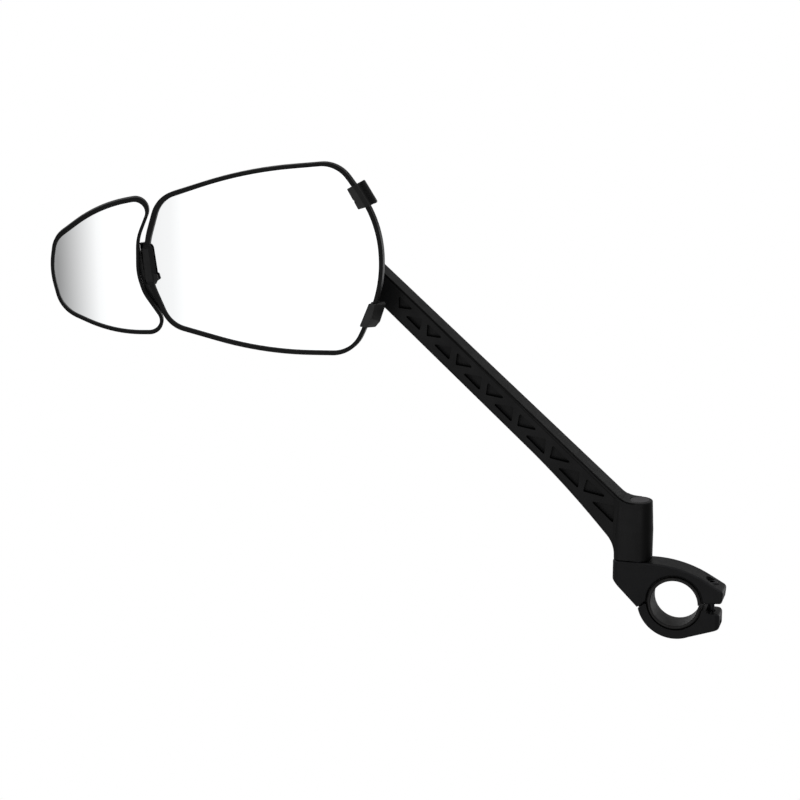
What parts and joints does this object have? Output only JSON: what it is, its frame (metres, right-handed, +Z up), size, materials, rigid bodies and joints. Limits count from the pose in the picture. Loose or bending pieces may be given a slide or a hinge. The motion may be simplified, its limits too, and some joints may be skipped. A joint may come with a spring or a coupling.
{
  "type": "bicycle handlebar mirror",
  "caption": "Bicycle mirror: a handlebar clamp, a swivelling truss-patterned arm, a ball joint, a main mirror and a smaller wing mirror hinged to its outer edge.",
  "frame": {"origin": "centre of the handlebar bore, halfway along the clamp", "axes": "+Y along the handlebar bore, away from the side the mirror glass faces; +Z up along the arm's swivel axis; +X from the mirror towards the clamp's screw ear"},
  "size_m": [0.3188, 0.0453, 0.2211],
  "materials": {
    "clamp_plastic": "moulded black nylon, fine satin texture",
    "arm_plastic": "moulded black nylon, satin",
    "cap_plastic": "satin black plug, slightly greyer than the arm",
    "clip_plastic": "moulded black nylon, satin",
    "rim_plastic": "semi-gloss black rim",
    "shell_plastic": "fine-grained black plastic",
    "nylon": "natural white nylon",
    "sleeve_rubber": "soft black rubber",
    "foam": "closed-cell foam",
    "steel": "zinc-plated steel",
    "black_steel": "black oxide steel",
    "brass": "turned and knurled",
    "stud_alloy": "machined aluminium",
    "mirror": "silvered flat glass"
  },
  "bodies": {
    "clamp": {"clamp_upper_jaw": "clamp_plastic", "clamp_hinge_pin": "steel", "reducer_sleeve": "sleeve_rubber", "pivot_insert": "brass", "pivot_screw": "black_steel", "pivot_spring_washer": "steel", "pivot_flat_washer": "steel", "pivot_friction_ring": "black_steel"},
    "lower_jaw": {"clamp_lower_jaw": "clamp_plastic", "clamp_nut": "steel"},
    "clamp_screw": {"clamp_screw": "black_steel", "clamp_screw_washer": "steel"},
    "arm": {"arm": "arm_plastic", "boss_cap": "cap_plastic", "ball_retaining_ring": "clamp_plastic", "ball_tension_screw": "black_steel", "ball_pressure_pad": "nylon"},
    "ball_seat": {"ball_seat": "nylon"},
    "ball_stud": {"ball_stud": "stud_alloy", "carrier_screw": "black_steel", "carrier_washer": "steel"},
    "head": {"mirror_carrier": "arm_plastic", "upper_rim_clip": "clip_plastic", "lower_rim_clip": "clip_plastic", "clip_screws": "black_steel", "main_frame": "rim_plastic", "main_glass": "mirror", "main_foam_pad": "foam", "main_back_shell": "shell_plastic", "hinge_bridge": "clip_plastic", "wing_hinge_pin": "steel", "hinge_friction_washers": "nylon"},
    "wing": {"wing_bracket": "clip_plastic", "wing_bracket_screws": "black_steel", "wing_frame": "rim_plastic", "wing_glass": "mirror", "wing_foam_pad": "foam", "wing_back_shell": "shell_plastic"}
  },
  "joints": [
    {"name": "clamp_jaw_hinge", "type": "hinge", "parent": "clamp", "child": "lower_jaw", "pos_m": [-0.0178, 0, 0.0016], "axis": [0, 1, 0], "range_deg": [0, 4]},
    {"name": "screw_tilt", "type": "hinge", "parent": "clamp", "child": "clamp_screw", "pos_m": [0.0166, 0, 0.0146], "axis": [0, 1, 0], "range_deg": [0, 1.85]},
    {"name": "arm_swivel", "type": "hinge", "parent": "clamp", "child": "arm", "pos_m": [-0.0185, 0, 0.026], "axis": [0, 0, 1], "range_deg": [-90, 90]},
    {"name": "head_pan", "type": "hinge", "parent": "arm", "child": "ball_seat", "pos_m": [-0.153, -0.0075, 0.1515], "axis": [0, 0, 1], "range_deg": [-15, 15]},
    {"name": "head_tilt", "type": "hinge", "parent": "ball_seat", "child": "ball_stud", "pos_m": [-0.153, -0.0075, 0.1515], "axis": [1, 0, 0], "range_deg": [-15, 15]},
    {"name": "head_roll", "type": "hinge", "parent": "ball_stud", "child": "head", "pos_m": [-0.153, -0.0075, 0.1515], "axis": [0, 1, 0], "range_deg": [-20, 20]},
    {"name": "wing_hinge", "type": "hinge", "parent": "head", "child": "wing", "pos_m": [-0.254, -0.0203, 0.1507], "axis": [-0.1219, 0, 0.9925], "range_deg": [-40, 10]}
  ],
  "couplings": [
    {"joint": "screw_tilt", "follows": "clamp_jaw_hinge", "ratio": 0.458}
  ]
}
